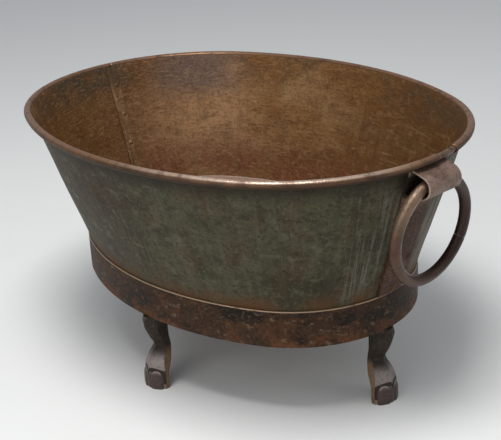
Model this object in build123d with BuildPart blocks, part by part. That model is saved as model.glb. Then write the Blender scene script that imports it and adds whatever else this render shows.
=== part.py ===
from build123d import *
import os
from math import acos, asin, atan2, cos, degrees, hypot, radians, sin, sqrt, tan

# An oval sheet-iron fire tub on four cast legs, with two ring handles and a lift-out grate.
# Millimetres. The origin is on the ground under the middle, X runs along the oval, Z is up.

# Tub
half_length = 340.0  # middle to the rim wire, lengthwise
half_width = 259.0  # middle to the rim wire, across
side_arc_radius = 470.0  # plan radius of the long sides at the rim wire
rim_height = 361.0  # ground to the middle of the rim wire
leg_height = 111.0  # ground to the underside of the tub
band_height = 52.0
band_thickness = 2.5
waist_depth = 69.5  # rim wire to the outside of the upright waist behind the band
sheet = 1.2
wire_radius = 4.0
lip_width = 18.0  # turned-in foot of the wall, under the floor
band_lap_length = 60.0
band_rivet_edge_gap = 13.0  # band's edge to the rivets of its lap

# Seams at the two ends of the wall, shifted from the long axis along the rim
seam_shift = 29.0
bare_wire_length = 40.0  # stretch of rim without its roll, at the right-hand seam
seam_ridge_width = 6.5
seam_ridge_height = 2.4
seam_tongue_width = 13.5
seam_tongue_height = 1.2
seam_lead = 11.0  # the strip starts this far before the seam
strip_end_gap = 1.5  # strip to the edge of the pan below it
seam_rivet_count = 4

# Floor pan
floor_thickness = 2.0
pan_sheet = 1.5
pan_depth = 60.0  # floor to the top of the pan's turned-up edge

# Grate
grate_frame_width = 26.0
grate_height = 10.0  # frame and bars
grate_bar_width = 10.0
grate_bar_count = 9
cross_bar_width = 14.0
cross_bar_height = 8.0
cross_bar_spread = 120.0  # middle to each cross bar
cross_bar_setback = 3.25  # cross bar's end behind the frame's edge
grate_foot_radius = 7.0
grate_foot_height = 36.0

# Ring handles and their straps
ring_radius = 67.5  # to the middle of the bar
ring_bar_radius = 7.5
ring_joint_gap = 0.8
ring_joint_angle = -24.5  # place of the open joint, from the level on the rear side
ring_lean = 6.0  # swing of the ring towards the wall
strap_width = 60.0
strap_thickness = 2.2
knuckle_reach = 7.0  # rim wire outwards to the middle of the strap's loop
knuckle_drop = 26.0  # rim wire down to the middle of the strap's loop
strap_end_gap = 1.5  # strap to band
strap_tuck = 0.8  # top of the strap's loop to the roll above it
strap_fold_gap = 0.4  # between the strap's two layers
strap_rivet_spread = 17.0
strap_rivet_rise = 51.0  # band to the upper pair of rivets
strap_rivet_foot = 10.0  # band to the lowest rivet

# Cast legs, in a plane that runs outwards from the band's outer face
leg_lug_length = 48.0
leg_lug_width = 46.0
leg_lug_thickness = 8.0
leg_lug_corner = 8.0
leg_lug_gap = 1.0  # wall's lip to the lug
leg_ridge_share = 0.09  # blunt ridge down the front, as a share of a section's width
leg_front_depth_share = 0.28  # the front faces' slope back from the ridge to the sides
leg_back_depth_share = 0.166
leg_back_corner_share = 0.20
toe_turn = 29.0  # the two toes lie on the foot's front faces
toe_root = 20.0  # where the lines of the toes meet, behind the band
toe_width = 21.0
toe_depth = 16.0
toe_reach = 26.5  # root to the toe's tip
toe_height = 29.0
toe_corner = 6.5
toe_crown_depth = 4.5  # a toe's top is this much shallower
toe_crown_width = 14.5  # and this much narrower
toe_crown_corner = 4.0  # with corners so much smaller
# A toe's rounding: share of its height, share of the crown's measures
toe_rounding = ((0, 0), (0.45, 0), (0.65, 0.09), (0.80, 0.30), (0.91, 0.60), (1, 1))
# Each section: height as a share of the leg, outer and inner face behind the band, width
leg_sections = (
    (0.00, -6.0, 20.5, 44.0),
    (0.07, -6.5, 20.5, 44.5),
    (0.14, -6.5, 20.5, 44.5),
    (0.21, -6.0, 21.0, 44.0),
    (0.31, -3.2, 25.5, 40.0),
    (0.42, 3.0, 30.0, 33.0),
    (0.475, 8.2, 31.5, 29.0),
    (0.53, 10.8, 32.0, 26.5),
    (0.585, 9.5, 31.0, 26.5),
    (0.64, 6.2, 29.5, 28.0),
    (0.77, -1.2, 28.0, 31.0),
    (0.89, -4.5, 28.0, 33.0),
    (1.00, -4.0, 28.0, 33.5),
)

# Fasteners
bolt_radius = 4.0
bolt_head_radius = 8.5
bolt_head_height = 3.6
bolt_spread = 26.0  # between a leg's two bolts
bolt_setback = 52.0  # band's outer face inwards to the bolts
bolt_tail = 3.0  # thread below the nut
washer_radius = 8.0
washer_thickness = 1.6
nut_across_flats = 13.0
nut_height = 6.5
rivet_radius = 3.0
rivet_head_radius = 5.5
rivet_head_height = 2.6
small_rivet_radius = 2.0
small_rivet_head_radius = 3.8
small_rivet_head_height = 1.6

# Clearances
wire_clearance = 0.2  # wire to the roll round it
tuck_gap = 0.3  # end of the roll to the wall
seat_gap = 0.1  # between curved sheets that lie on each other
pan_clearance = 0.15
grate_clearance = 4.0
hole_clearance = 0.15
swing_clearance = 0.3  # ring to the loop that it hangs in
knuckle_slack = 2.1  # extra radius of the loop over what the ring needs

os.makedirs("parts", exist_ok=True)

# The oval: four arcs that meet tangentially
end_arc_radius = (side_arc_radius**2 - (side_arc_radius - half_width) ** 2 - half_length**2) / (
    2 * (side_arc_radius - half_length)
)
end_centre = half_length - end_arc_radius
side_centre = side_arc_radius - half_width
end_turn = degrees(atan2(side_centre, end_centre))
right_arc = ((end_centre, 0), end_arc_radius, -end_turn, end_turn)
rear_arc = ((0, -side_centre), side_arc_radius, end_turn, 180 - end_turn)
left_arc = ((-end_centre, 0), end_arc_radius, 180 - end_turn, 180 + end_turn)
front_arc = ((0, side_centre), side_arc_radius, 180 + end_turn, 360 - end_turn)
oval_arcs = (right_arc, rear_arc, left_arc, front_arc)

# The wall's upright section: outwards is measured from the rim wire
band_top = leg_height + band_height
roll_inner = wire_radius + wire_clearance
roll_outer = roll_inner + sheet
wall_rise = rim_height - band_top
lean = degrees(atan2(waist_depth, wall_rise) - asin(roll_inner / hypot(waist_depth, wall_rise)))
lean_sin = sin(radians(lean))
lean_cos = cos(radians(lean))
lean_tan = tan(radians(lean))
roll_wrap = 360 - degrees(acos((roll_inner - tuck_gap) / roll_outer))


def wall_line(gap, height):
    """Place of a line along the sloping wall, gap out from its outer face."""
    return (height - rim_height) * lean_tan - (roll_inner - gap) / lean_cos


def waist_line(gap):
    """Place of a line along the upright waist, gap out from its outer face."""
    return gap - waist_depth


def bend_height(gap):
    """Height at which the sloping line meets the upright one."""
    return rim_height + (waist_line(gap) + (roll_inner - gap) / lean_cos) / lean_tan


def oval_half_width(along, inset):
    """Half width of the oval, drawn in by inset, at a distance along it from the middle."""
    end_radius = end_arc_radius - inset
    if along <= end_centre + end_radius * cos(radians(end_turn)):
        return sqrt((side_arc_radius - inset) ** 2 - along**2) - side_centre
    return sqrt(end_radius**2 - (along - end_centre) ** 2)


def draw_oval(inset):
    for centre, radius, start, stop in oval_arcs:
        CenterArc(centre, radius - inset, start, stop - start)


def part_of(arc, start, stop):
    return (arc[0], arc[1], start, stop)


def carry_round(draw_section, arcs, mode=Mode.ADD):
    """Turn an upright section about the centre of each arc in the list."""
    for centre, radius, start, stop in arcs:
        across = radians(start)
        outwards = Vector(cos(across), sin(across), 0)
        upright = Plane((*centre, 0), x_dir=outwards, z_dir=outwards.cross(Vector(0, 0, 1)))
        with BuildSketch(upright) as section:
            with BuildLine():
                draw_section(radius)
            make_face()
        revolve(section.sketch, axis=Axis((*centre, 0), (0, 0, 1)), revolution_arc=stop - start, mode=mode)


def end_seat(side, shift_angle, height, gap):
    """Plane on an end wall, gap out from its outer face, facing outwards."""
    across = radians(shift_angle if side > 0 else 180 - shift_angle)
    reach = end_arc_radius + wall_line(gap, height)
    place = (side * end_centre + reach * cos(across), reach * sin(across), height)
    outwards = (lean_cos * cos(across), lean_cos * sin(across), -lean_sin)
    return Plane(place, x_dir=(-sin(across), cos(across), 0), z_dir=outwards)


def dome_rivet(seat, grip, shank, head, rise):
    """Domed rivet whose head stands on the seat and whose shank goes back through the grip."""
    ball = (head**2 + rise**2) / (2 * rise)
    base = degrees(asin((ball - rise) / ball))
    with Locations(seat):
        Cylinder(shank, grip, align=(Align.CENTER, Align.CENTER, Align.MAX))
    with Locations(seat.offset(rise - ball)):
        Sphere(ball, arc_size1=base, align=None)


def drill(seats, radius, depth):
    with Locations(*seats):
        Cylinder(radius + hole_clearance, 2 * depth, mode=Mode.SUBTRACT)


# Places that the holes in the wall depend on
seam_turn = degrees(seam_shift / end_arc_radius)
bare_turn = degrees(bare_wire_length / 2 / end_arc_radius)
strip_start = seam_turn - degrees(seam_lead / end_arc_radius)
strip_step = strip_start + degrees(seam_ridge_width / end_arc_radius)
strip_stop = strip_step + degrees(seam_tongue_width / end_arc_radius)
floor_bottom = leg_height + sheet
floor_top = floor_bottom + floor_thickness
pan_top = floor_top + pan_depth
strip_bottom = pan_top + strip_end_gap
strip_top = rim_height - roll_outer
strip_outer = -sheet - seat_gap
strip_seat = strip_outer - seam_tongue_height
strip_pitch = (strip_top - strip_bottom) / seam_rivet_count
strip_rivet_turn = (strip_step + strip_stop) / 2


def inward_seat(side, shift_angle, height, gap):
    """The same place as an end seat, facing into the tub."""
    seat = end_seat(side, shift_angle, height, gap)
    return Plane(seat.origin, x_dir=seat.x_dir, z_dir=-seat.z_dir)


def seam_seats(side):
    heights = [strip_bottom + (k + 0.5) * strip_pitch for k in range(seam_rivet_count)]
    return [inward_seat(side, strip_rivet_turn, height, strip_seat - seat_gap) for height in heights]


strap_inner = seat_gap
strap_outer = strap_inner + strap_thickness + strap_fold_gap
strap_seat = strap_outer + strap_thickness
strap_grip = strap_seat + sheet


def strap_seats(side):
    upper = band_top + strap_rivet_rise
    lower = band_top + strap_rivet_foot
    sway = degrees(asin(strap_rivet_spread / (end_arc_radius + wall_line(strap_seat, upper))))
    places = [(sway, upper), (-sway, upper), (0, lower)]
    return [end_seat(side, turned, height, strap_seat + seat_gap) for turned, height in places]


all_seam_seats = seam_seats(1) + seam_seats(-1)
all_strap_seats = strap_seats(1) + strap_seats(-1)
seam_grip = seam_tongue_height + 2 * seat_gap + sheet

# Wall sheets: lip, upright waist, sloping wall and rolled rim in one bent sheet


def wall_face(radius, last):
    """The wall's straight runs, from the roll down its outer face and up its inner face."""
    Polyline(
        (radius - roll_inner * lean_cos, rim_height + roll_inner * lean_sin),
        (radius + waist_line(0), bend_height(0)),
        (radius + waist_line(0), leg_height),
        (radius + waist_line(-lip_width), leg_height),
        (radius + waist_line(-lip_width), floor_bottom),
        (radius + waist_line(-sheet), floor_bottom),
        (radius + waist_line(-sheet), bend_height(-sheet)),
        (radius - roll_outer * lean_cos, rim_height + roll_outer * lean_sin),
        close=last,
    )


def rolled_section(radius):
    wall_face(radius, False)
    inner = CenterArc((radius, rim_height), roll_inner, 180 - lean, -roll_wrap)
    outer = CenterArc((radius, rim_height), roll_outer, 180 - lean, -roll_wrap)
    Line(inner @ 1, outer @ 1)


def bare_section(radius):
    wall_face(radius, True)


with BuildPart() as wall_front:
    carry_round(rolled_section, [part_of(left_arc, 180 - seam_turn, 180 + end_turn), front_arc])
    carry_round(rolled_section, [part_of(right_arc, -end_turn, seam_turn - bare_turn)])
    carry_round(bare_section, [part_of(right_arc, seam_turn - bare_turn, seam_turn)])
    drill(all_strap_seats, rivet_radius, strap_grip + seat_gap)
    drill(all_seam_seats, small_rivet_radius, seam_grip)
wall_front.part.label = "wall_front"
export_step(wall_front.part, "parts/wall_front.step")

with BuildPart() as wall_rear:
    carry_round(bare_section, [part_of(right_arc, seam_turn, seam_turn + bare_turn)])
    carry_round(rolled_section, [part_of(right_arc, seam_turn + bare_turn, end_turn), rear_arc])
    carry_round(rolled_section, [part_of(left_arc, 180 - end_turn, 180 - seam_turn)])
    drill(all_strap_seats, rivet_radius, strap_grip + seat_gap)
    drill(all_seam_seats, small_rivet_radius, seam_grip)
wall_rear.part.label = "wall_rear"
export_step(wall_rear.part, "parts/wall_rear.step")


def wire_section(radius):
    CenterArc((radius, rim_height), wire_radius, 0, 360)


with BuildPart() as rim_wire:
    carry_round(wire_section, oval_arcs)
rim_wire.part.label = "rim_wire"
export_step(rim_wire.part, "parts/rim_wire.step")

# Seam strips: a ridge and a thinner tongue, inside the wall at both ends


def strip_section(height):
    def draw(radius):
        Polyline(
            (radius + wall_line(strip_outer, strip_bottom), strip_bottom),
            (radius + wall_line(strip_outer, strip_top), strip_top),
            (radius + wall_line(strip_outer - height, strip_top), strip_top),
            (radius + wall_line(strip_outer - height, strip_bottom), strip_bottom),
            close=True,
        )

    return draw


with BuildPart() as seam_strip_right:
    carry_round(strip_section(seam_ridge_height), [part_of(right_arc, strip_start, strip_step)])
    carry_round(strip_section(seam_tongue_height), [part_of(right_arc, strip_step, strip_stop)])
    drill(seam_seats(1), small_rivet_radius, seam_grip)
seam_strip_right.part.label = "seam_strip_right"
export_step(seam_strip_right.part, "parts/seam_strip_right.step")

with BuildPart() as seam_strip_left:
    mirror(seam_strip_right.part, about=Plane.YZ)
seam_strip_left.part.label = "seam_strip_left"
export_step(seam_strip_left.part, "parts/seam_strip_left.step")

with BuildPart() as seam_rivets:
    for seat in all_seam_seats:
        dome_rivet(seat, seam_grip, small_rivet_radius, small_rivet_head_radius, small_rivet_head_height)
seam_rivets.part.label = "seam_rivets"
export_step(seam_rivets.part, "parts/seam_rivets.step")

# Base band: a hoop round the waist, lapped over itself at the back
lap_turn = degrees(band_lap_length / 2 / (side_arc_radius + waist_line(band_thickness)))
lap_outer = 2 * band_thickness


def band_section(inner, outer):
    def draw(radius):
        Polyline(
            (radius + waist_line(inner), leg_height),
            (radius + waist_line(outer), leg_height),
            (radius + waist_line(outer), band_top),
            (radius + waist_line(inner), band_top),
            close=True,
        )

    return draw


def lap_seats():
    seats = []
    for turned in (-lap_turn / 2, lap_turn / 2):
        for height in (leg_height + band_rivet_edge_gap, band_top - band_rivet_edge_gap):
            across = radians(90 + turned)
            outwards = (cos(across), sin(across), 0)
            reach = side_arc_radius + waist_line(lap_outer + seat_gap)
            place = (reach * outwards[0], reach * outwards[1] - side_centre, height)
            seats.append(Plane(place, x_dir=(0, 0, 1), z_dir=outwards))
    return seats


with BuildPart() as base_band:
    carry_round(band_section(0, band_thickness), oval_arcs)
    carry_round(band_section(band_thickness, lap_outer), [part_of(rear_arc, 90 - lap_turn, 90 + lap_turn)])
    drill(lap_seats(), rivet_radius, lap_outer + 2 * seat_gap)
base_band.part.label = "base_band"
export_step(base_band.part, "parts/base_band.step")

with BuildPart() as band_rivets:
    for seat in lap_seats():
        dome_rivet(seat, lap_outer, rivet_radius, rivet_head_radius, rivet_head_height)
band_rivets.part.label = "band_rivets"
export_step(band_rivets.part, "parts/band_rivets.step")

# Floor pan: an oval plate on the wall's lip, with a thin edge turned up inside the wall
pan_outer = -sheet - pan_clearance
pan_inner = pan_outer - pan_sheet
pan_middle = (pan_outer + pan_inner) / 2


def leg_frame(outwards):
    """Plane on the ground at the band's outer face, x pointing outwards."""
    reach = (half_length if outwards[0] else half_width) + waist_line(band_thickness)
    return Plane((reach * outwards[0], reach * outwards[1], 0), x_dir=(*outwards, 0), z_dir=(0, 0, 1))


leg_frames = {
    "right": leg_frame((1, 0)),
    "left": leg_frame((-1, 0)),
    "front": leg_frame((0, -1)),
    "rear": leg_frame((0, 1)),
}
bolt_seats = []
for frame in leg_frames.values():
    for across in (-bolt_spread / 2, bolt_spread / 2):
        axis = frame.from_local_coords(Vector(-bolt_setback, across, 0))
        bolt_seats.append(Plane((axis.X, axis.Y, floor_top)))
bolt_spots = [(seat.origin.X, seat.origin.Y) for seat in bolt_seats]
bolt_depth = floor_thickness + leg_lug_thickness + washer_thickness


def flange_section(radius):
    Polyline(
        (radius + waist_line(pan_outer), floor_bottom),
        (radius + waist_line(pan_outer), bend_height(pan_outer)),
        (radius + wall_line(pan_outer, pan_top), pan_top),
        (radius + wall_line(pan_inner, pan_top), pan_top),
        (radius + waist_line(pan_inner), bend_height(pan_inner)),
        (radius + waist_line(pan_inner), floor_bottom),
        close=True,
    )


with BuildPart() as floor_pan:
    with BuildSketch(Plane.XY.offset(floor_bottom)):
        with BuildLine():
            draw_oval(-waist_line(pan_middle))
        make_face()
    extrude(amount=floor_thickness)
    carry_round(flange_section, oval_arcs)
    drill(bolt_seats, bolt_radius, bolt_depth)
floor_pan.part.label = "floor_pan"
export_step(floor_pan.part, "parts/floor_pan.step")

# Grate: a flat oval frame with bars, on two cross bars and four feet
cross_bar_bottom = floor_top + grate_foot_height
grate_bottom = cross_bar_bottom + cross_bar_height
grate_outer = grate_clearance - waist_line(pan_inner)
grate_inner = grate_outer + grate_frame_width
grate_bar_pitch = 2 * (half_width - grate_inner) / (grate_bar_count + 1)

with BuildPart() as grate_frame:
    with BuildSketch(Plane.XY.offset(grate_bottom)):
        with BuildLine():
            draw_oval(grate_outer)
        make_face()
        with BuildLine():
            draw_oval(grate_inner)
        make_face(mode=Mode.SUBTRACT)
    extrude(amount=grate_height)
grate_frame.part.label = "grate_frame"
export_step(grate_frame.part, "parts/grate_frame.step")

for number in range(grate_bar_count):
    across = (number - (grate_bar_count - 1) / 2) * grate_bar_pitch
    with BuildPart() as grate_bar:
        with BuildSketch(Plane.XY.offset(grate_bottom)):
            with BuildLine():
                draw_oval(grate_inner)
            make_face()
            with Locations((0, across)):
                Rectangle(2 * half_length, grate_bar_width, mode=Mode.INTERSECT)
        extrude(amount=grate_height)
    grate_bar.part.label = f"grate_bar_{number + 1}"
    export_step(grate_bar.part, f"parts/grate_bar_{number + 1}.step")

for side, name in ((1, "grate_cross_bar_right"), (-1, "grate_cross_bar_left")):
    with BuildPart() as cross_bar:
        with BuildSketch(Plane.XY.offset(cross_bar_bottom)):
            with BuildLine():
                draw_oval(grate_outer + cross_bar_setback)
            make_face()
            with Locations((side * cross_bar_spread, 0)):
                Rectangle(cross_bar_width, 2 * half_width, mode=Mode.INTERSECT)
        extrude(amount=cross_bar_height)
    cross_bar.part.label = name
    export_step(cross_bar.part, f"parts/{name}.step")

foot_across = oval_half_width(cross_bar_spread, (grate_outer + grate_inner) / 2)
with BuildPart() as grate_feet:
    with BuildSketch(Plane.XY.offset(floor_top)):
        with GridLocations(2 * cross_bar_spread, 2 * foot_across, 2, 2):
            Circle(grate_foot_radius)
    extrude(amount=grate_foot_height)
grate_feet.part.label = "grate_feet"
export_step(grate_feet.part, "parts/grate_feet.step")

# Legs: cast in one piece with a lug that is bolted under the floor
lug_start = band_thickness + lip_width + leg_lug_gap


def leg_outline(outer, inner, width):
    half = [
        (-outer, leg_ridge_share * width / 2),
        (-outer - leg_front_depth_share * width, width / 2),
        (-inner + leg_back_depth_share * width, width / 2),
        (-inner, width / 2 - leg_back_corner_share * width),
    ]
    return half + [(along, -across) for along, across in reversed(half)]


def cast_leg(frame):
    with BuildPart() as leg:
        for share, outer, inner, width in leg_sections:
            with BuildSketch(frame.offset(share * leg_height)):
                with BuildLine():
                    Polyline(*leg_outline(outer, inner, width), close=True)
                make_face()
        loft()
        with BuildSketch(frame.offset(floor_bottom - leg_lug_thickness)):
            with Locations((-lug_start - leg_lug_length / 2, 0)):
                RectangleRounded(leg_lug_length, leg_lug_width, leg_lug_corner)
        extrude(amount=leg_lug_thickness)
        for turn in (toe_turn, -toe_turn):
            for rise, crown in toe_rounding:
                depth = toe_depth - crown * toe_crown_depth
                width = toe_width - crown * toe_crown_width
                corner = toe_corner - crown * toe_crown_corner
                middle = Vector(toe_reach - toe_depth + depth / 2, 0).rotate(Axis.Z, turn)
                with BuildSketch(frame.offset(rise * toe_height)):
                    with Locations((middle.X - toe_root, middle.Y)):
                        RectangleRounded(depth, width, corner, rotation=turn)
            loft()
        drill(bolt_seats, bolt_radius, bolt_depth)
    return leg


for place, opposite, about in (("right", "left", Plane.YZ), ("front", "rear", Plane.XZ)):
    cast = cast_leg(leg_frames[place])
    cast.part.label = f"leg_{place}"
    export_step(cast.part, f"parts/leg_{place}.step")
    with BuildPart() as turned_leg:
        mirror(cast.part, about=about)
    turned_leg.part.label = f"leg_{opposite}"
    export_step(turned_leg.part, f"parts/leg_{opposite}.step")

# Leg fastenings: domed bolts from inside, washers and nuts under the lugs
lug_bottom = floor_bottom - leg_lug_thickness
washer_bottom = lug_bottom - washer_thickness
nut_bottom = washer_bottom - nut_height
bolt_grip = floor_top - nut_bottom + bolt_tail

with BuildPart() as leg_bolts:
    for seat in bolt_seats:
        dome_rivet(seat, bolt_grip, bolt_radius, bolt_head_radius, bolt_head_height)
leg_bolts.part.label = "leg_bolts"
export_step(leg_bolts.part, "parts/leg_bolts.step")

with BuildPart() as leg_washers:
    with BuildSketch(Plane.XY.offset(washer_bottom)):
        with Locations(*bolt_spots):
            Circle(washer_radius)
            Circle(bolt_radius + hole_clearance, mode=Mode.SUBTRACT)
    extrude(amount=washer_thickness)
leg_washers.part.label = "leg_washers"
export_step(leg_washers.part, "parts/leg_washers.step")

with BuildPart() as leg_nuts:
    with BuildSketch(Plane.XY.offset(nut_bottom)):
        with Locations(*bolt_spots):
            RegularPolygon(nut_across_flats / 2, 6, major_radius=False)
            Circle(bolt_radius + hole_clearance, mode=Mode.SUBTRACT)
    extrude(amount=nut_height)
leg_nuts.part.label = "leg_nuts"
export_step(leg_nuts.part, "parts/leg_nuts.step")

# Straps: one strip, up the wall, out round the ring and down again over itself
ring_crown = ring_radius + ring_bar_radius
ring_mouth = sqrt((ring_radius - ring_bar_radius) ** 2 - (strap_width / 2) ** 2)
knuckle_bore = (ring_crown - ring_mouth) / 2 + knuckle_slack
knuckle_outer = knuckle_bore + strap_thickness
knuckle_x = half_length + knuckle_reach
knuckle_z = rim_height - knuckle_drop
roll_offset = end_centre + sqrt(end_arc_radius**2 - (strap_width / 2) ** 2) - knuckle_x
tuck_angle = acos((knuckle_outer + roll_outer + strap_tuck) / hypot(roll_offset, knuckle_drop))
crown = atan2(knuckle_drop, roll_offset) - tuck_angle
crown_angle = degrees(crown)
strap_middle = knuckle_bore + strap_thickness / 2
strap_top = knuckle_z + (strap_middle + cos(crown) * (knuckle_reach + roll_outer)) / sin(crown)
strap_bottom = band_top + strap_end_gap
strap_turn = degrees(asin(strap_width / 2 / (end_arc_radius + wall_line(strap_outer, knuckle_z))))


def layer_section(gap, top):
    def draw(radius):
        Polyline(
            (radius + wall_line(gap, strap_bottom), strap_bottom),
            (radius + wall_line(gap + strap_thickness, strap_bottom), strap_bottom),
            (radius + wall_line(gap + strap_thickness, top), top),
            (radius + wall_line(gap, top), top),
            close=True,
        )

    return draw


def wall_body_section(radius):
    """Everything inside the strap's seat, to trim the ends of its loop."""
    low = strap_bottom
    high = rim_height + wall_rise
    Polyline(
        (0, low),
        (radius + wall_line(strap_inner, low), low),
        (radius + wall_line(strap_inner, high), high),
        (0, high),
        close=True,
    )


with BuildPart() as strap_right:
    with BuildSketch(Plane.XZ):
        with BuildLine():
            outer = CenterArc((knuckle_x, knuckle_z), knuckle_outer, -90, 90 + crown_angle)
            inner = CenterArc((knuckle_x, knuckle_z), knuckle_bore, -90, 90 + crown_angle)
            outer_top = PolarLine(outer @ 1, waist_depth, 90 + crown_angle)
            inner_top = PolarLine(inner @ 1, waist_depth, 90 + crown_angle)
            Line(outer_top @ 1, inner_top @ 1)
            outer_foot = PolarLine(outer @ 0, waist_depth, 180)
            inner_foot = PolarLine(inner @ 0, waist_depth, 180)
            Line(outer_foot @ 1, inner_foot @ 1)
        make_face()
    extrude(amount=strap_width / 2, both=True)
    carry_round(wall_body_section, [right_arc], mode=Mode.SUBTRACT)
    wing = part_of(right_arc, -strap_turn, strap_turn)
    carry_round(layer_section(strap_inner, strap_top), [wing])
    carry_round(layer_section(strap_outer, knuckle_z - knuckle_bore), [wing])
    drill(strap_seats(1), rivet_radius, strap_grip)
strap_right.part.label = "strap_right"
export_step(strap_right.part, "parts/strap_right.step")

with BuildPart() as strap_left:
    mirror(strap_right.part, about=Plane.YZ)
strap_left.part.label = "strap_left"
export_step(strap_left.part, "parts/strap_left.step")

for side, name in ((1, "strap_rivets_right"), (-1, "strap_rivets_left")):
    with BuildPart() as strap_rivets:
        for seat in strap_seats(side):
            dome_rivet(seat, strap_grip, rivet_radius, rivet_head_radius, rivet_head_height)
    strap_rivets.part.label = name
    export_step(strap_rivets.part, f"parts/{name}.step")

# Rings: round bar bent to a circle with an open joint, hanging in the straps' loops
pivot_z = knuckle_z - knuckle_slack + swing_clearance
ring_hang = (ring_crown + ring_mouth) / 2
ring_up = Vector(sin(radians(ring_lean)), 0, cos(radians(ring_lean)))
ring_side = Vector(0, 1, 0)
ring_middle = Vector(knuckle_x, 0, pivot_z) - ring_up * ring_hang
joint_turn = degrees(ring_joint_gap / ring_radius)

with BuildPart() as ring_right:
    joint = radians(ring_joint_angle)
    outwards = ring_side * cos(joint) + ring_up * sin(joint)
    with BuildSketch(Plane(ring_middle, x_dir=outwards, z_dir=ring_up * cos(joint) - ring_side * sin(joint))):
        with Locations((ring_radius, 0)):
            Circle(ring_bar_radius)
    revolve(axis=Axis(ring_middle, ring_side.cross(ring_up)), revolution_arc=360 - joint_turn)
ring_right.part.label = "ring_right"
export_step(ring_right.part, "parts/ring_right.step")

with BuildPart() as ring_left:
    mirror(ring_right.part, about=Plane.YZ)
ring_left.part.label = "ring_left"
export_step(ring_left.part, "parts/ring_left.step")
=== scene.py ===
from math import acos, asin, atan2, cos, hypot, pi, radians, sin, tan

import bmesh
import bpy
from mathutils import Matrix, Vector, noise


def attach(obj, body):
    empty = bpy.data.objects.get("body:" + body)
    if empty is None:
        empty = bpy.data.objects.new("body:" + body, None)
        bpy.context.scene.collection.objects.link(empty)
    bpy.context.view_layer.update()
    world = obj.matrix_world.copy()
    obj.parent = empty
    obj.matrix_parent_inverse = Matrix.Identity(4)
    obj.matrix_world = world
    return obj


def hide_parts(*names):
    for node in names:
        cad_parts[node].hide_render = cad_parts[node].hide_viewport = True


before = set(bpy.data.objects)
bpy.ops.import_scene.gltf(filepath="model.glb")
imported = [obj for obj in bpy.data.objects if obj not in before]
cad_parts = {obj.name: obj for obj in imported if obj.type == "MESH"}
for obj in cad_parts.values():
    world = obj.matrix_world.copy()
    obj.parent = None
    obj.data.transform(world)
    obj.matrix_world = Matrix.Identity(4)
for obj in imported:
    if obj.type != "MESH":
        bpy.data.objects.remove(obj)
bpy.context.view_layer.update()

# The viewpoint: a low three-quarter view over the near long side, towards the right-hand handle.
# The camera is turned a little about its own axis, as the tub stands slightly aslant in the picture.
image_width = 501
view_azimuth = radians(48.04)
view_elevation = radians(22.78)
view_distance = 1.70308
view_target = Vector((0, 0, 0.18137))
view_roll = radians(3.17)
focal_pixels = 1168.61
axis_pixel = (245.23, 226.89)
image_middle = (250.5, 220.0)

camera_data = bpy.data.cameras.new("camera")
camera_data.sensor_fit = "HORIZONTAL"
camera_data.lens = focal_pixels / image_width * camera_data.sensor_width
camera_data.shift_x = (image_middle[0] - axis_pixel[0]) / image_width
camera_data.shift_y = (axis_pixel[1] - image_middle[1]) / image_width
camera = bpy.data.objects.new("camera", camera_data)
bpy.context.scene.collection.objects.link(camera)
back = Vector(
    (sin(view_azimuth) * cos(view_elevation), -cos(view_azimuth) * cos(view_elevation), sin(view_elevation))
)
level = Vector((cos(view_azimuth), sin(view_azimuth), 0))
upward = back.cross(level)
right = level * cos(view_roll) - upward * sin(view_roll)
above = level * sin(view_roll) + upward * cos(view_roll)
camera_turn = Matrix((right, above, back)).transposed().to_4x4()
camera.matrix_world = Matrix.Translation(view_target + back * view_distance) @ camera_turn
bpy.context.scene.camera = camera
bpy.context.scene.view_settings.view_transform = "Standard"


# Light and ground: a soft light high over the tub, a broad weaker one from the front and a small one
# from the right-hand end, under a pale sky. The floor is pale and matt and keeps the tub's shadow.
def add_light(name, place, aim, size, power):
    lamp = bpy.data.lights.new(name, "AREA")
    lamp.size = size
    lamp.energy = power
    holder = bpy.data.objects.new(name, lamp)
    holder.location = place
    holder.rotation_euler = (Vector(aim) - Vector(place)).to_track_quat("-Z", "Y").to_euler()
    bpy.context.scene.collection.objects.link(holder)


add_light("sky_light", place=(0.3, -0.55, 2.3), aim=(0, 0, 0.2), size=0.9, power=40)
add_light("front_light", place=(0.5, -2.3, 1.1), aim=(0, 0, 0.2), size=1.8, power=14)
add_light("side_light", place=(2.2, 0.9, 1.2), aim=(0, 0, 0.25), size=1.0, power=5)

world = bpy.data.worlds.new("daylight")
world.use_nodes = True
sky = world.node_tree.nodes["Background"]
sky.inputs["Color"].default_value = (0.86, 0.90, 0.96, 1)
sky.inputs["Strength"].default_value = 0.42
bpy.context.scene.world = world

floor_mesh = bmesh.new()
bmesh.ops.create_grid(floor_mesh, x_segments=1, y_segments=1, size=9)
floor_data = bpy.data.meshes.new("floor")
floor_mesh.to_mesh(floor_data)
floor_mesh.free()
floor = bpy.data.objects.new("floor", floor_data)
bpy.context.scene.collection.objects.link(floor)
floor_paint = bpy.data.materials.new("floor_paint")
floor_paint.use_nodes = True
floor_shader = floor_paint.node_tree.nodes["Principled BSDF"]
floor_shader.inputs["Base Color"].default_value = (0.80, 0.80, 0.78, 1)
floor_shader.inputs["Roughness"].default_value = 0.9
floor_data.materials.append(floor_paint)

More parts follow.
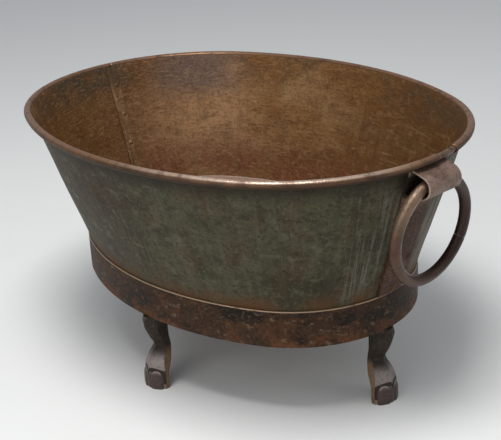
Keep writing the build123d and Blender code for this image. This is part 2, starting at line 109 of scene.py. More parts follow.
# The wall: two bent sheets of iron that meet at the ends of the oval, each with a lip under the floor,
# an upright waist, a sloping side and a rim that is rolled outwards round a wire.
# The outside has gone grey-green and brown, the inside is rust brown, and the rim's top is partly rubbed and
# partly painted highlight.
half_length = 0.340
half_width = 0.259
side_radius = 0.470
rim_height = 0.361
leg_height = 0.111
band_height = 0.052
band_top = leg_height + band_height
waist_depth = 0.0695
sheet = 0.0012
wire_radius = 0.0040
wire_gap = 0.00018
tuck_gap = 0.0003
roll_inner = wire_radius + wire_gap
roll_outer = roll_inner + sheet
lip_width = 0.018
seam_shift = 0.029
bare_wire_length = 0.040
mesh_step = 0.0045
weld_distance = 0.00002
end_radius = (side_radius**2 - (side_radius - half_width) ** 2 - half_length**2) / (
    2 * (side_radius - half_length)
)
end_centre = half_length - end_radius
side_centre = side_radius - half_width
end_turn = atan2(side_centre, end_centre)
right_arc = ((end_centre, 0), end_radius, -end_turn, end_turn)
rear_arc = ((0, -side_centre), side_radius, end_turn, pi - end_turn)
left_arc = ((-end_centre, 0), end_radius, pi - end_turn, pi + end_turn)
front_arc = ((0, side_centre), side_radius, pi + end_turn, 2 * pi - end_turn)
wall_rise = rim_height - band_top
lean = atan2(waist_depth, wall_rise) - asin(roll_inner / hypot(waist_depth, wall_rise))
seam_turn = seam_shift / end_radius
bare_turn = bare_wire_length / 2 / end_radius


def part_of(arc, start, stop):
    return (arc[0], arc[1], start, stop)


def carry_round(bm, arcs):
    """Sets a profile, drawn at x = 0 on the rim line, on the first arc and spins it along all of them."""
    profile = list(bm.verts) + list(bm.edges) + list(bm.faces)
    centre, radius, start, stop = arcs[0]
    bmesh.ops.translate(bm, verts=bm.verts, vec=(radius, 0, 0))
    bmesh.ops.rotate(bm, verts=bm.verts, cent=(0, 0, 0), matrix=Matrix.Rotation(start, 3, "Z"))
    bmesh.ops.translate(bm, verts=bm.verts, vec=(*centre, 0))
    for centre, radius, start, stop in arcs:
        steps = max(2, round(radius * (stop - start) / mesh_step))
        made = bmesh.ops.spin(
            bm, geom=profile, cent=(*centre, 0), axis=(0, 0, 1),
            angle=stop - start, steps=steps, use_merge=False,
        )
        profile = made["geom_last"]


def join_into(whole, bm):
    """Adds a run of mesh to a whole one and frees it."""
    run = bpy.data.meshes.new("run")
    bm.to_mesh(run)
    bm.free()
    whole.from_mesh(run)
    bpy.data.meshes.remove(run)


def rim_side(place):
    """Level direction straight out of the oval at a place, and how far outside the rim's line it lies."""
    for side in (1, -1):
        if end_turn <= atan2(side * place.y + side_centre, place.x) <= pi - end_turn:
            arm = Vector((place.x, place.y + side * side_centre, 0))
            return arm.normalized(), arm.length - side_radius
    arm = Vector((place.x - (end_centre if place.x > 0 else -end_centre), place.y, 0))
    return arm.normalized(), arm.length - end_radius


def along_rim(place):
    """Way along the rim from the middle of the front or of the back, where 3 m more keeps the two apart."""
    rear_shift = 3
    turn = atan2(abs(place.y), abs(place.x) - end_centre)
    if turn < end_turn:
        way = side_radius * (pi / 2 - end_turn) + end_radius * (end_turn - turn)
    else:
        way = side_radius * atan2(abs(place.x), side_centre + abs(place.y))
    return (way if place.x > 0 else -way) + (rear_shift if place.y > 0 else 0)


def smooth_step(low, high, value):
    """0 below low, 1 above high, and a soft step between."""
    share = min(1, max(0, (value - low) / (high - low)))
    return share * share * (3 - 2 * share)


def draw_wall_profile(bm, rolled):
    """The middle of the sheet: lip, waist, slope and, where it is rolled, the roll round the wire."""
    middle = sheet / 2
    roll_radius = roll_inner + middle
    bend = rim_height + (-middle - waist_depth + roll_radius / cos(lean)) / tan(lean)
    corners = [
        (-waist_depth - lip_width, leg_height + middle),
        (-waist_depth - middle, leg_height + middle),
        (-waist_depth - middle, bend),
        (-roll_radius * cos(lean), rim_height + roll_radius * sin(lean)),
    ]
    verts = [bm.verts.new((x, 0, z)) for x, z in corners]
    bm.edges.new(verts[0:2])
    waist = bm.edges.new(verts[1:3])
    slope = bm.edges.new(verts[2:4])
    if rolled:
        wrap = 2 * pi - acos((roll_inner - tuck_gap) / roll_outer)
        bmesh.ops.spin(
            bm, geom=[verts[3]], cent=(0, 0, rim_height), axis=(0, 1, 0),
            angle=wrap, steps=26, use_merge=False,
        )
    bmesh.ops.subdivide_edges(bm, edges=[waist], cuts=5)
    bmesh.ops.subdivide_edges(bm, edges=[slope], cuts=39)


def dent(bm):
    """Slow waves in the sheet, which die out at the rim, the band, the seams and the straps."""
    foot_fade = (0.19, 0.235)
    rim_fade = (0.315, 0.348)
    strap_fade = (0.045, 0.085)
    end_start = 0.2
    long_wave, long_depth = 0.105, 0.0011
    short_wave, short_depth = 0.038, 0.0004
    for vert in bm.verts:
        free = smooth_step(*foot_fade, vert.co.z) * (1 - smooth_step(*rim_fade, vert.co.z))
        if abs(vert.co.x) > end_start:
            free *= smooth_step(*strap_fade, abs(vert.co.y))
        wave = long_depth * noise.noise(vert.co / long_wave) + short_depth * noise.noise(vert.co / short_wave)
        vert.co += rim_side(vert.co)[0] * wave * free


class Value:
    """One output in a material's nodes. Arithmetic on it adds Math nodes."""

    def __init__(self, tree, socket):
        self.tree = tree
        self.socket = socket

    def node(self, kind, settings, inputs, output=0):
        made = self.tree.nodes.new(kind)
        for name, setting in settings.items():
            setattr(made, name, setting)
        for name, given in inputs.items():
            if isinstance(given, Value):
                self.tree.links.new(given.socket, made.inputs[name])
            else:
                made.inputs[name].default_value = given
        return Value(self.tree, made.outputs[output])

    def math(self, operation, first, second):
        return self.node("ShaderNodeMath", {"operation": operation}, {0: first, 1: second})

    def __add__(self, other):
        return self.math("ADD", self, other)

    def __sub__(self, other):
        return self.math("SUBTRACT", self, other)

    def __rsub__(self, other):
        return self.math("SUBTRACT", other, self)

    def __mul__(self, other):
        return self.math("MULTIPLY", self, other)

    __radd__ = __add__
    __rmul__ = __mul__


def rise(value, low, high):
    """0 below low, 1 above high, and a soft step between."""
    return value.node(
        "ShaderNodeMapRange",
        {"interpolation_type": "SMOOTHSTEP"},
        {"Value": value, "From Min": low, "From Max": high},
    )


def between(value, low, high, soft):
    """1 from low to high, fading out over a soft stretch on either side."""
    return rise(value, low - soft, low) * (1 - rise(value, high, high + soft))


def cloud(place, size, low, high, detail=5.0, shift=0.0):
    """Mottling with patches of about this size in metres, along X, Y and Z."""
    sizes = size if isinstance(size, tuple) else (size, size, size)
    moved = place.node(
        "ShaderNodeMapping",
        {},
        {"Vector": place, "Location": (shift, shift, shift), "Scale": [1 / s for s in sizes]},
    )
    fog = place.node(
        "ShaderNodeTexNoise", {}, {"Vector": moved, "Scale": 1.0, "Detail": detail, "Roughness": 0.6}
    )
    return rise(fog, low, high)


def tint(red, green, blue):
    """A colour on a screen's scale of 0 to 255, as the share of light that it gives back."""
    shares = [value / 255 for value in (red, green, blue)]
    return (*(((share + 0.055) / 1.055) ** 2.4 for share in shares), 1.0)


class Finish:
    """A material in the making: layers go over each other, then the relief closes it.

    Places and sizes are in metres, and the factors of the masks are shares of full strength.
    """

    def __init__(self, name, colour, roughness, metallic, specular=0.2):
        self.material = bpy.data.materials.new(name)
        self.material.use_nodes = True
        tree = self.material.node_tree
        self.shader = tree.nodes["Principled BSDF"]
        self.shader.inputs["Specular IOR Level"].default_value = specular
        self.place = Value(tree, tree.nodes.new("ShaderNodeTexCoord").outputs["Object"])
        self.x, self.y, self.z = (
            self.place.node("ShaderNodeSeparateXYZ", {}, {"Vector": self.place}, axis) for axis in range(3)
        )
        self.colour = colour
        self.roughness = roughness
        self.metallic = metallic

    def layer(self, mask, colour, roughness=None, metallic=None):
        """Lays a colour over what is there where the mask is 1, with its own gloss where one is given."""
        self.colour = mask.node(
            "ShaderNodeMix", {"data_type": "RGBA"}, {0: mask, 6: self.colour, 7: colour}, 2
        )
        if roughness is not None:
            self.roughness = self.roughness + mask * (roughness - self.roughness)
        if metallic is not None:
            self.metallic = self.metallic + mask * (metallic - self.metallic)

    def near(self, middle, inner, outer):
        """1 within the inner distance of a place, fading out to the outer distance."""
        apart = self.place.node(
            "ShaderNodeVectorMath", {"operation": "DISTANCE"}, {0: self.place, 1: middle}, "Value"
        )
        return 1 - rise(apart, inner, outer)

    def unrolled(self):
        """The way along the rim, and the wall laid flat as a vector of that way, nothing and the height."""
        way = self.place.node("ShaderNodeAttribute", {"attribute_name": "along"}, {}, "Fac")
        return way, self.place.node("ShaderNodeCombineXYZ", {}, {"X": way, "Z": self.z})

    def grain(self, coarse, fine, coarse_share):
        """Relief of coarse and fine pits."""
        coarse_pits = cloud(self.place, coarse, 0.3, 0.7)
        return coarse_pits * coarse_share + cloud(self.place, fine, 0.3, 0.7) * (1 - coarse_share)

    def speckle(self, size, share, dark, light, shift):
        """Fine dark and light flecks."""
        self.layer(cloud(self.place, size, 0.50, 0.64, shift=shift) * share, dark)
        self.layer(cloud(self.place, size * 0.8, 0.54, 0.68, shift=shift + 1.5) * share, light)

    def close(self, height, depth):
        """Links what was layered to the shader, with the height map as relief of this depth in metres."""
        bump = height.node("ShaderNodeBump", {}, {"Strength": 1.0, "Distance": depth, "Height": height})
        for socket, given in (
            ("Base Color", self.colour),
            ("Roughness", self.roughness),
            ("Metallic", self.metallic),
            ("Normal", bump),
        ):
            if isinstance(given, Value):
                height.tree.links.new(given.socket, self.shader.inputs[socket])
            else:
                self.shader.inputs[socket].default_value = given
        return self.material


outside = Finish("wall_outside", tint(74, 71, 53), 0.54, 0.08, specular=0.12)
way, flat_outside = outside.unrolled()
far_end_x, far_end_y = 0.669, 0.743
towards_far_end = outside.x * far_end_x + outside.y * far_end_y
outside.layer(cloud(outside.place, 0.13, 0.45, 0.62, shift=3.1), tint(58, 54, 39))
outside.layer(cloud(outside.place, (0.05, 0.05, 0.08), 0.46, 0.66, shift=7.7) * 0.65, tint(76, 58, 42), 0.6)
outside.layer((1 - rise(towards_far_end, -0.24, -0.08)) * 0.85, tint(58, 44, 30))
outside.layer(cloud(outside.place, (0.035, 0.035, 0.022), 0.50, 0.62, shift=3.6) * 0.5, tint(48, 44, 32))
pale_spots = cloud(outside.place, (0.024, 0.024, 0.014), 0.54, 0.66, shift=9.4)
outside.layer(pale_spots * 0.45, tint(98, 95, 77), 0.42)
outside.layer(cloud(flat_outside, (0.014, 1, 0.12), 0.46, 0.66, shift=1.3) * 0.4, tint(48, 43, 31))
outside.layer(cloud(flat_outside, (0.009, 1, 0.10), 0.52, 0.68, shift=6.4) * 0.3, tint(96, 90, 73))
runs = cloud(flat_outside, (0.0045, 1, 0.09), 0.48, 0.64, detail=4.0, shift=5.2)
runs = runs * between(way, 0.385, 0.445, 0.03) * between(outside.z, 0.185, 0.315, 0.03)
outside.layer(runs * 0.6, tint(110, 110, 98), 0.42)
outside.speckle(0.006, 0.5, tint(42, 38, 27), tint(96, 92, 74), 2.8)
# Painted reflection: a pale streaky sheen on the right-hand end, on the rear side of the strap, where
# glancing light falls.
painted_grazing_sheen = rise(outside.x, 0.22, 0.27) * between(outside.y, 0.040, 0.062, 0.030)
painted_grazing_sheen = painted_grazing_sheen * cloud(flat_outside, (0.010, 1, 0.06), 0.36, 0.60, shift=8.6)
outside.layer(painted_grazing_sheen * 0.6, tint(122, 108, 94), 0.5)
near_band = 1 - rise(outside.z, band_top + 0.003, band_top + 0.033)
outside.layer(near_band * cloud(outside.place, 0.05, 0.35, 0.6, shift=2.2), tint(84, 59, 37), 0.66)
# Painted shade: the wall is darkened in a band under the rim.
painted_shade_under_rim = rise(outside.z, rim_height - 0.036, rim_height - 0.008)
outside.layer(painted_shade_under_rim * 0.75, tint(38, 32, 22))
pits = cloud(outside.place, (0.006, 0.006, 0.003), 0.62, 0.70, shift=4.8)
outside.layer(pits * 0.8, tint(30, 27, 20), 0.72)

inside = Finish("wall_inside", tint(120, 82, 42), 0.46, 0.15)
flat_inside = inside.unrolled()[1]
inside.layer(cloud(inside.place, (0.16, 0.16, 0.09), 0.42, 0.62, shift=1.7), tint(142, 108, 72), 0.40)
inside.layer(cloud(inside.place, 0.10, 0.50, 0.66, shift=6.3) * 0.8, tint(106, 66, 28))
inside.layer(cloud(inside.place, (0.05, 0.05, 0.03), 0.48, 0.64, shift=9.9) * 0.5, tint(98, 66, 36))
# Darker and more saturated towards both ends, partly rust and partly painted shade.
inside.layer(rise(inside.x * inside.x, 0.035, 0.090) * 0.8, tint(88, 54, 21), 0.52)
# Painted shade: the right-hand half of the inside is darkened.
inside.layer(rise(inside.x, -0.15, 0.18) * 0.85, tint(86, 55, 23), 0.52)
# Painted light: a lighter pool on the inside near the left-hand end, on the far side.
inside.layer(inside.near((-0.245, 0.135, 0.260), 0.03, 0.14) * 0.75, tint(156, 118, 84), 0.40)
scuffs = cloud(flat_inside, (0.06, 1, 0.005), 0.54, 0.70, shift=3.8)
inside.layer(scuffs * between(inside.z, 0.235, 0.315, 0.025) * 0.4, tint(154, 120, 84), 0.38)
near_floor = 1 - rise(inside.z, 0.19, 0.255)
inside.layer(near_floor * cloud(inside.place, 0.07, 0.30, 0.52, shift=8.1) * 0.9, tint(110, 66, 46), 0.32)
inside.layer(cloud(flat_inside, (0.030, 1, 0.016), 0.48, 0.64, shift=4.4) * 0.4, tint(80, 51, 25), 0.6)
inside.layer(cloud(flat_inside, (0.011, 1, 0.055), 0.48, 0.68, shift=7.2) * 0.3, tint(76, 48, 23), 0.56)
inside.layer(cloud(flat_inside, (0.016, 1, 0.009), 0.55, 0.68, shift=2.6) * 0.3, tint(150, 116, 80), 0.42)
scorch = rise(inside.z, 0.30, 0.352) * cloud(inside.place, (0.09, 0.09, 0.05), 0.42, 0.58, shift=2.9)
inside.layer(scorch * 0.8, tint(74, 56, 37))
haze = inside.near((-0.27, 0.15, 0.335), 0.03, 0.10) * rise(inside.z, 0.285, 0.325)
inside.layer(haze * cloud(inside.place, 0.05, 0.25, 0.50, shift=7.9) * 0.85, tint(90, 73, 66), 0.42)
soot = inside.near((-0.335, -0.02, 0.350), 0.03, 0.11) * rise(inside.z, 0.312, 0.340)
inside.layer(soot * cloud(inside.place, 0.03, 0.28, 0.55, shift=5.4) * 0.85, tint(52, 50, 41))
inside.layer(cloud(flat_inside, (0.018, 1, 0.0030), 0.50, 0.66, shift=1.9) * 0.4, tint(70, 44, 20), 0.56)
fleck_share = 0.42 - rise(inside.x, -0.12, 0.15) * 0.26
light_flecks = cloud(flat_inside, (0.014, 1, 0.0025), 0.52, 0.68, shift=6.8)
inside.layer(light_flecks * fleck_share, tint(150, 116, 80), 0.42)
inside.speckle(0.0042, fleck_share, tint(66, 40, 18), tint(146, 110, 72), 5.9)

rim = Finish("rim_roll", tint(98, 71, 51), 0.36, 0.4)
rim.layer(cloud(rim.place, 0.05, 0.45, 0.62, shift=1.1) * 0.8, tint(74, 57, 44), 0.42)
# The top of the roll is lighter, partly rubbed wear and partly painted highlight.
rubbed_top_and_highlight = rise(rim.z, rim_height + 0.0020, rim_height + 0.0044)
rim.layer(rubbed_top_and_highlight * 0.85, tint(130, 97, 74), 0.32, 0.5)
# Painted highlight: a bright line along the top of the roll on the front, towards the right.
painted_highlight = rubbed_top_and_highlight * (1 - rise(rim.y, -0.12, 0.0)) * rise(rim.x, 0.02, 0.18)
rim.layer(painted_highlight * 0.8, tint(190, 168, 150), 0.26, 0.5)
# Painted shade: the underside of the roll is darkened.
painted_shade_under_roll = 1 - rise(rim.z, rim_height - 0.0030, rim_height + 0.0015)
rim.layer(painted_shade_under_roll * 0.85, tint(44, 31, 22), 0.6, 0.2)
rim.layer(cloud(rim.place, 0.024, 0.50, 0.72, shift=3.3) * 0.7, tint(58, 41, 29), 0.55, 0.3)
rim.layer(cloud(rim.place, 0.008, 0.50, 0.68, shift=6.2) * 0.45, tint(62, 46, 35), 0.5, 0.3)

# A sheet's inner face takes the finish that follows its outer face's, so the rim's is there twice.
rim_iron = rim.close(rim.grain(0.006, 0.0022, 0.6), 0.00015)
wall_finishes = [
    outside.close(outside.grain(0.012, 0.0035, 0.5), 0.0003),
    inside.close(inside.grain(0.010, 0.003, 0.4), 0.0003),
    rim_iron,
    rim_iron,
]
outside_index, rim_index = 0, 2


def add_piece(name, bm, finishes, body, slot, *nodes):
    """Makes a mesh object of the bmesh, rides it on its body and lets it stand for its CAD nodes."""
    sharp_angle = radians(40)
    data = bpy.data.meshes.new(name)
    bm.to_mesh(data)
    bm.free()
    data.shade_smooth()
    data.set_sharp_from_angle(angle=sharp_angle)
    for finish in finishes:
        data.materials.append(finish)
    piece = bpy.data.objects.new(name, data)
    bpy.context.scene.collection.objects.link(piece)
    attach(piece, body)
    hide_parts(*nodes)
    return piece


def add_sheet(name, node, rolled_arcs, bare_arc):
    """One sheet of the wall, with its outer faces turned outwards before it gets its thickness."""
    whole = bmesh.new()
    for rolled, arcs in ((True, rolled_arcs), (False, [bare_arc])):
        bm = bmesh.new()
        draw_wall_profile(bm, rolled)
        carry_round(bm, arcs)
        join_into(whole, bm)
    bmesh.ops.remove_doubles(whole, verts=whole.verts, dist=weld_distance)
    bmesh.ops.recalc_face_normals(whole, faces=whole.faces)
    whole.normal_update()
    facing = 0
    roll_slack = 0.0002
    roll_reach = roll_inner + sheet / 2 + roll_slack
    for face in whole.faces:
        middle = face.calc_center_median()
        direction, offset = rim_side(middle)
        if hypot(offset, middle.z - rim_height) < roll_reach:
            face.material_index = rim_index
        else:
            face.material_index = outside_index
            facing += face.normal.dot(direction)
    if facing < 0:
        bmesh.ops.reverse_faces(whole, faces=whole.faces)
    dent(whole)
    along = whole.verts.layers.float.new("along")
    for vert in whole.verts:
        vert[along] = along_rim(vert.co)
    piece = add_piece(name, whole, wall_finishes, "tub", "wall_sheet", node)
    thick = piece.modifiers.new("sheet", "SOLIDIFY")
    thick.thickness = sheet
    thick.offset = 0
    thick.use_even_offset = True
    thick.material_offset = 1


add_sheet(
    "sheet_front",
    "wall_front",
    [
        part_of(left_arc, pi - seam_turn, pi + end_turn),
        front_arc,
        part_of(right_arc, -end_turn, seam_turn - bare_turn),
    ],
    part_of(right_arc, seam_turn - bare_turn, seam_turn),
)
add_sheet(
    "sheet_rear",
    "wall_rear",
    [
        part_of(right_arc, seam_turn + bare_turn, end_turn),
        rear_arc,
        part_of(left_arc, pi - end_turn, pi - seam_turn),
    ],
    part_of(right_arc, seam_turn, seam_turn + bare_turn),
)

# The rim wire: a round iron wire that stiffens the rim, closed into the roll of the wall's sheets.
# It is bare for a short stretch beside the right-hand handle, where it has worn to dull metal.
wire = Finish("rim_wire_iron", tint(112, 92, 76), 0.42, 0.6)
wire.layer(cloud(wire.place, 0.012, 0.45, 0.6, shift=2.4), tint(70, 52, 42), 0.6, 0.3)
wire.layer(cloud(wire.place, 0.005, 0.58, 0.68, shift=1.4), tint(150, 130, 112), 0.35, 0.8)


def dress(finish, *nodes):
    """Gives CAD nodes whose shape is right their finish."""
    for node in nodes:
        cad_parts[node].data.materials.clear()
        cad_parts[node].data.materials.append(finish)


dress(wire.close(cloud(wire.place, 0.003, 0.3, 0.7), 0.0003), "rim_wire")

# The seam strips: iron strips over the wall's two seams, inside, each with a ridge and a thinner
# tongue. Small domed rivets go through the tongue and the wall. All rivets get their finish here.
strip_edge = 0.0004
strip = Finish("seam_strip_iron", tint(104, 75, 47), 0.46, 0.2)
strip.layer(cloud(strip.place, (0.02, 0.02, 0.05), 0.45, 0.62, shift=3.6), tint(122, 94, 66), 0.42)
strip.layer(cloud(strip.place, 0.009, 0.56, 0.68, shift=7.1) * 0.7, tint(70, 42, 20), 0.62)
strip.speckle(0.0045, 0.45, tint(70, 48, 26), tint(158, 130, 96), 4.9)
strip.layer(rise(strip.z, 0.322, 0.345) * 0.7, tint(58, 46, 32), 0.6)
strip_iron = strip.close(cloud(strip.place, 0.004, 0.3, 0.7), 0.0003)


def add_eased(name, node, width, finish, body, slot):
    """A copy of a CAD node with its hard edges rounded off."""
    node_weld_distance = 0.00001
    flat_angle = radians(0.5)
    hard_angle = radians(32)
    bm = bmesh.new()
    bm.from_mesh(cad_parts[node].data)
    bmesh.ops.remove_doubles(bm, verts=bm.verts, dist=node_weld_distance)
    bmesh.ops.dissolve_limit(bm, angle_limit=flat_angle, verts=bm.verts, edges=bm.edges)
    hard = [edge for edge in bm.edges if edge.is_manifold and edge.calc_face_angle() > hard_angle]
    bmesh.ops.bevel(
        bm, geom=hard, offset=width, offset_type="OFFSET", affect="EDGES",
        segments=3, profile=0.5, material=-1, clamp_overlap=True,
    )
    add_piece(name, bm, [finish], body, slot, node)


for place in ("right", "left"):
    add_eased(f"seam_cover_{place}", f"seam_strip_{place}", strip_edge, strip_iron, "tub", "seam_iron")

rivet = Finish("rivet_iron", tint(84, 56, 38), 0.48, 0.2)
rivet.layer(cloud(rivet.place, 0.004, 0.48, 0.62, shift=1.9) * 0.7, tint(72, 46, 28), 0.58, 0.2)
rivet_iron = rivet.close(cloud(rivet.place, 0.002, 0.3, 0.7), 0.0002)
dress(strip_iron, "seam_rivets")
dress(rivet_iron, "band_rivets", "strap_rivets_right", "strap_rivets_left")

# The base band: a hoop of flat iron round the waist of the wall, lapped and riveted at the back.
# It is rusty, with dark patches and orange spots low down, and its upper edge is lighter, partly rubbed
# bright and partly painted highlight.
band_thickness = 0.0025
band_edge = 0.0007
band_lap_length = 0.060
lap_turn = band_lap_length / 2 / (side_radius - waist_depth + band_thickness)


def add_band_run(whole, inner, outer, arcs, closed):
    """A stretch of the hoop between two distances outside the waist, with capped ends unless it is closed."""
    bm = bmesh.new()
    corners = [(inner, leg_height), (outer, leg_height), (outer, band_top), (inner, band_top)]
    face = bm.faces.new([bm.verts.new((x - waist_depth, 0, z)) for x, z in corners])
    bmesh.ops.bevel(
        bm, geom=list(face.verts), offset=band_edge, affect="VERTICES", segments=3, profile=0.5, material=-1
    )
    for edge in list(bm.edges):
        if edge.calc_length() > band_height / 2:
            bmesh.ops.subdivide_edges(bm, edges=[edge], cuts=7)
    if closed:
        bmesh.ops.delete(bm, geom=list(bm.faces), context="FACES_ONLY")
    carry_round(bm, arcs)
    bmesh.ops.remove_doubles(bm, verts=bm.verts, dist=weld_distance)
    bmesh.ops.recalc_face_normals(bm, faces=bm.faces)
    join_into(whole, bm)


band_mesh = bmesh.new()
add_band_run(band_mesh, 0, band_thickness, [right_arc, rear_arc, left_arc, front_arc], True)
lap_arc = part_of(rear_arc, pi / 2 - lap_turn, pi / 2 + lap_turn)
add_band_run(band_mesh, band_thickness, 2 * band_thickness, [lap_arc], False)

band = Finish("band_iron", tint(58, 40, 28), 0.56, 0.1, specular=0.12)
band.layer(cloud(band.place, (0.07, 0.07, 0.04), 0.46, 0.58, shift=4.3) * 0.95, tint(28, 23, 17), 0.5)
band.layer(cloud(band.place, (0.05, 0.05, 0.03), 0.52, 0.64, shift=8.8) * 0.8, tint(80, 52, 33), 0.62)
low_edge = 1 - rise(band.z, leg_height + 0.002, leg_height + 0.027)
band.layer(low_edge * cloud(band.place, 0.035, 0.42, 0.6, shift=5.5) * 0.8, tint(98, 61, 38), 0.64)
band.layer(cloud(band.place, 0.012, 0.60, 0.70, shift=2.7) * 0.7, tint(108, 70, 42), 0.66)
band.layer(cloud(band.place, (0.014, 0.014, 0.008), 0.58, 0.68, shift=9.7) * 0.7, tint(110, 92, 74), 0.44)
band.speckle(0.005, 0.5, tint(26, 20, 14), tint(98, 80, 62), 6.6)
# The upper edge is lighter, partly rubbed bright and partly painted highlight.
worn_and_highlit_top_edge = rise(band.z, band_top - 0.0018, band_top - 0.0005)
band.layer(worn_and_highlit_top_edge * cloud(band.place, 0.02, 0.25, 0.45, shift=1.2), tint(186, 158, 130), 0.34, 0.5)
band_iron = band.close(band.grain(0.008, 0.0028, 0.5), 0.0004)
add_piece("waist_band", band_mesh, [band_iron], "tub", "band_iron", "base_band")

# The floor pan: an oval plate of sheet iron that lies on the wall's lip, with its edge turned up
# inside the wall. It is scorched and rusty, with a painted pool of light on one stretch of its turned-up edge
# and a painted highlight along the edge's top.
pan_top = 0.1742
pan = Finish("pan_sheet", tint(92, 66, 46), 0.5, 0.35)
pan.layer(cloud(pan.place, 0.08, 0.45, 0.62, shift=2.5), tint(62, 52, 46), 0.6)
pan.layer(cloud(pan.place, 0.03, 0.54, 0.66, shift=5.1), tint(112, 70, 42), 0.66)
# Painted light: a pale pinkish pool on one stretch of the turned-up edge, near the left of the far side.
painted_light_pool = pan.near((-0.20, 0.10, 0.165), 0.10, 0.22)
turned_up = rise(pan.z, pan_top - 0.0342, pan_top - 0.0222)
pan.layer(turned_up * painted_light_pool * 0.9, tint(176, 142, 122), 0.5, 0.1)
# Painted highlight: a pale line along the top of the edge, strongest in the painted pool of light.
painted_edge_highlight = rise(pan.z, pan_top - 0.0012, pan_top - 0.0004)
pan.layer(painted_edge_highlight * (painted_light_pool * 0.7 + 0.2), tint(178, 160, 148), 0.45, 0.2)
dress(pan.close(cloud(pan.place, 0.006, 0.3, 0.7), 0.0004), "floor_pan")

# The legs: four short cast-iron cabriole legs, each with two domed toes on the foot's sloping faces.
# A lug on the inner side of each leg is bolted to the floor from above. The insteps are worn pale,
# the toes' tops have a painted highlight, and painted shade lies in the creases round the toes.
leg_reach_x = half_length - waist_depth + band_thickness
leg_reach_y = half_width - waist_depth + band_thickness
toe_root = 0.020
toe_turn = radians(29)
toe_face = 0.0227
toe_top = 0.029
leg_edge = 0.0016
near_axis = (0.040**2, 0.060**2)

leg = Finish("leg_casting", tint(48, 39, 32), 0.46, 0.3)
facing = leg.place.node("ShaderNodeNewGeometry", {}, {}, "Normal")
facing_x, facing_y, facing_z = (
    leg.place.node("ShaderNodeSeparateXYZ", {}, {"Vector": facing}, axis) for axis in range(3)
)
side_x = facing_x * facing_x * (1 - rise(leg.x * leg.x, *near_axis))
side_y = facing_y * facing_y * (1 - rise(leg.y * leg.y, *near_axis))
away_x = leg.x.math("ABSOLUTE", leg.x, 0.0)
away_y = leg.y.math("ABSOLUTE", leg.y, 0.0)
outwards = leg.x.math("MAXIMUM", away_x - leg_reach_x, away_y - leg_reach_y)
across = leg.x.math("MINIMUM", away_x, away_y)
proud = (outwards + toe_root) * cos(toe_turn) + across * sin(toe_turn) - toe_face
leg.layer(cloud(leg.place, 0.02, 0.45, 0.62, shift=3.9) * 0.8, tint(36, 30, 25), 0.55)
instep = (1 - rise(leg.z, 0.040, 0.056)) * rise(proud, -0.022, -0.010)
leg.layer(instep * 0.9, tint(142, 132, 126), 0.36, 0.35)
foot_side = rise(side_x + side_y, 0.76, 0.92) * (1 - rise(leg.z, 0.050, 0.064))
leg.layer(foot_side * 0.9, tint(118, 92, 68), 0.55)
toe = (1 - rise(leg.z, toe_top - 0.0005, toe_top + 0.0010)) * rise(proud, 0.0002, 0.0012)
leg.layer(toe * 0.95, tint(78, 64, 60), 0.38)
# Painted highlight: the upward-facing tops of the toes are lighter.
leg.layer(toe * rise(facing_z, 0.25, 0.60) * 0.85, tint(164, 150, 140), 0.34)
# Painted shade: a dark line in the creases round the toes.
painted_crease_shade = between(proud, -0.0006, 0.0004, 0.0005) * between(leg.z, 0.008, toe_top + 0.002, 0.001)
leg.layer(painted_crease_shade * 0.9, tint(26, 20, 17), 0.6)
leg.layer(cloud(leg.place, 0.008, 0.56, 0.67, shift=6.9) * 0.5, tint(76, 54, 40), 0.62)
leg.speckle(0.004, 0.3, tint(30, 25, 20), tint(104, 90, 78), 1.6)
leg_iron = leg.close(leg.grain(0.005, 0.0016, 0.6), 0.0004)
for place in ("right", "left", "front", "rear"):
    add_eased(f"foot_{place}", f"leg_{place}", leg_edge, leg_iron, "tub", "leg_casting")

bolt = Finish("bolt_steel", tint(84, 70, 62), 0.48, 0.5)
bolt.layer(cloud(bolt.place, 0.005, 0.46, 0.6, shift=4.1), tint(60, 42, 32), 0.62, 0.3)
dress(bolt.close(cloud(bolt.place, 0.002, 0.3, 0.7), 0.0002), "leg_bolts", "leg_washers", "leg_nuts")

# The grate: a flat oval iron frame with bars let in, on two cross bars with short round feet.
# It lies loose in the tub and lifts out. Fire has scorched it and rust has bloomed over it.
grate = Finish("grate_iron", tint(116, 94, 82), 0.5, 0.4)
grate.layer(cloud(grate.place, 0.05, 0.45, 0.62, shift=5.7), tint(74, 62, 56), 0.6)
grate.layer(cloud(grate.place, 0.02, 0.54, 0.66, shift=2.1), tint(120, 76, 50), 0.66)
grate.layer(cloud(grate.place, 0.008, 0.58, 0.68, shift=8.3) * 0.7, tint(46, 40, 37), 0.7)
grate_iron = grate.close(grate.grain(0.006, 0.002, 0.6), 0.0004)

bar_count = 9
grate_edge = 0.0008
grate_pieces = [("grate_rim", "grate_frame")]
grate_pieces += [(f"grate_rod_{number}", f"grate_bar_{number}") for number in range(1, bar_count + 1)]
grate_pieces += [(f"grate_bearer_{place}", f"grate_cross_bar_{place}") for place in ("right", "left")]
grate_pieces += [("grate_stubs", "grate_feet")]
for name, node in grate_pieces:
    add_eased(name, node, grate_edge, grate_iron, "grate", "grate_iron")

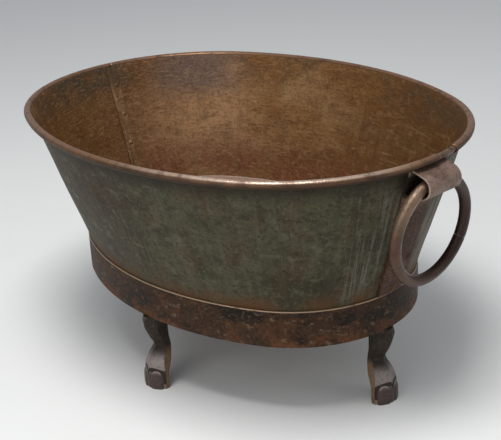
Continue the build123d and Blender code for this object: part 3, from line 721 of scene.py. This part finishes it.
# The straps: one strip of iron each, up the wall, out round the ring and down again over itself.
# Three rivets hold its two layers to the wall. The loop is rubbed pale, with painted shade inside it and
# light edges that are partly worn bright and partly painted highlight.
strap_half_width = 0.030
strap_edge = 0.0004
fold_start, fold_end = 0.342, 0.346
strap = Finish("strap_iron", tint(132, 110, 98), 0.42, 0.35)
strap.layer(cloud(strap.place, 0.04, 0.47, 0.62, shift=6.1) * 0.7, tint(92, 68, 56), 0.5)
strap.layer((1 - rise(strap.z, 0.285, 0.325)) * 0.95, tint(60, 33, 20), 0.58, 0.1)
strap.layer(cloud(strap.place, (0.008, 0.008, 0.02), 0.56, 0.68, shift=3.7) * 0.7, tint(104, 68, 46), 0.6)
strap.speckle(0.004, 0.4, tint(44, 33, 26), tint(140, 120, 104), 7.4)
loop_side = rise(strap.x * strap.x, fold_start**2, fold_end**2)
# Painted shade: the inside of the loop is darkened to near black.
strap.layer((1 - loop_side) * between(strap.z, 0.318, 0.344, 0.004) * 0.85, tint(30, 23, 18), 0.6)
# The side edges of the loop's outer part and top are lighter, partly worn bright and partly painted
# highlight.
edge = rise(strap.y * strap.y, (strap_half_width - 0.0006) ** 2, (strap_half_width - 0.0002) ** 2)
strap.layer(edge * (loop_side + rise(strap.z, 0.3465, 0.3500)) * 0.85, tint(184, 162, 144), 0.32, 0.7)
strap_iron = strap.close(strap.grain(0.006, 0.002, 0.6), 0.0004)
for place in ("right", "left"):
    add_eased(f"handle_strap_{place}", f"strap_{place}", strap_edge, strap_iron, "tub", "strap_iron")

# The rings: round iron bar bent to a circle with an open butt joint, hanging loose in the straps' loops.
# They lean towards the wall at rest. The upper half is lighter, partly polished by hands and partly painted
# highlight, and the rear half is darkened with painted shade.
ring_radius = 0.0675
ring_bar_radius = 0.0075
ring_lean = radians(6)
ring_joint = radians(-24.5)
ring_gap = 0.0008
ring_middle = Vector((0.340364, 0, 0.270067))

ring = Finish("ring_iron", tint(84, 58, 42), 0.28, 0.5, specular=0.5)
ring.layer(cloud(ring.place, 0.03, 0.45, 0.62, shift=2.6) * 0.8, tint(64, 42, 30), 0.34)
# The upper half is lighter, partly polished and partly painted highlight.
ring.layer(rise(ring.z, 0.270, 0.322) * 0.65, tint(142, 118, 96), 0.26, 0.5)
# Painted shade: the rear half is darkened.
ring.layer(rise(ring.y, -0.015, 0.035) * 0.85, tint(40, 25, 18), 0.3)
ring.layer(cloud(ring.place, 0.010, 0.54, 0.66, shift=5.3) * 0.5, tint(46, 31, 23), 0.46, 0.3)
ring_iron = ring.close(ring.grain(0.006, 0.002, 0.5), 0.0004)

for side, place in ((1, "right"), (-1, "left")):
    bm = bmesh.new()
    bmesh.ops.create_circle(bm, cap_ends=True, segments=28, radius=ring_bar_radius)
    bmesh.ops.translate(bm, verts=bm.verts, vec=(0, ring_radius, 0))
    bmesh.ops.rotate(bm, verts=bm.verts, cent=(0, 0, 0), matrix=Matrix.Rotation(ring_joint, 3, "X"))
    bmesh.ops.spin(
        bm, geom=list(bm.verts) + list(bm.edges) + list(bm.faces), cent=(0, 0, 0), axis=(1, 0, 0),
        angle=2 * pi - ring_gap / ring_radius, steps=110, use_merge=False,
    )
    bmesh.ops.rotate(bm, verts=bm.verts, cent=(0, 0, 0), matrix=Matrix.Rotation(ring_lean, 3, "Y"))
    bmesh.ops.translate(bm, verts=bm.verts, vec=ring_middle)
    if side < 0:
        bmesh.ops.scale(bm, verts=bm.verts, vec=(-1, 1, 1))
    bmesh.ops.recalc_face_normals(bm, faces=bm.faces)
    add_piece(f"handle_ring_{place}", bm, [ring_iron], f"ring_{place}", "ring_iron", f"ring_{place}")
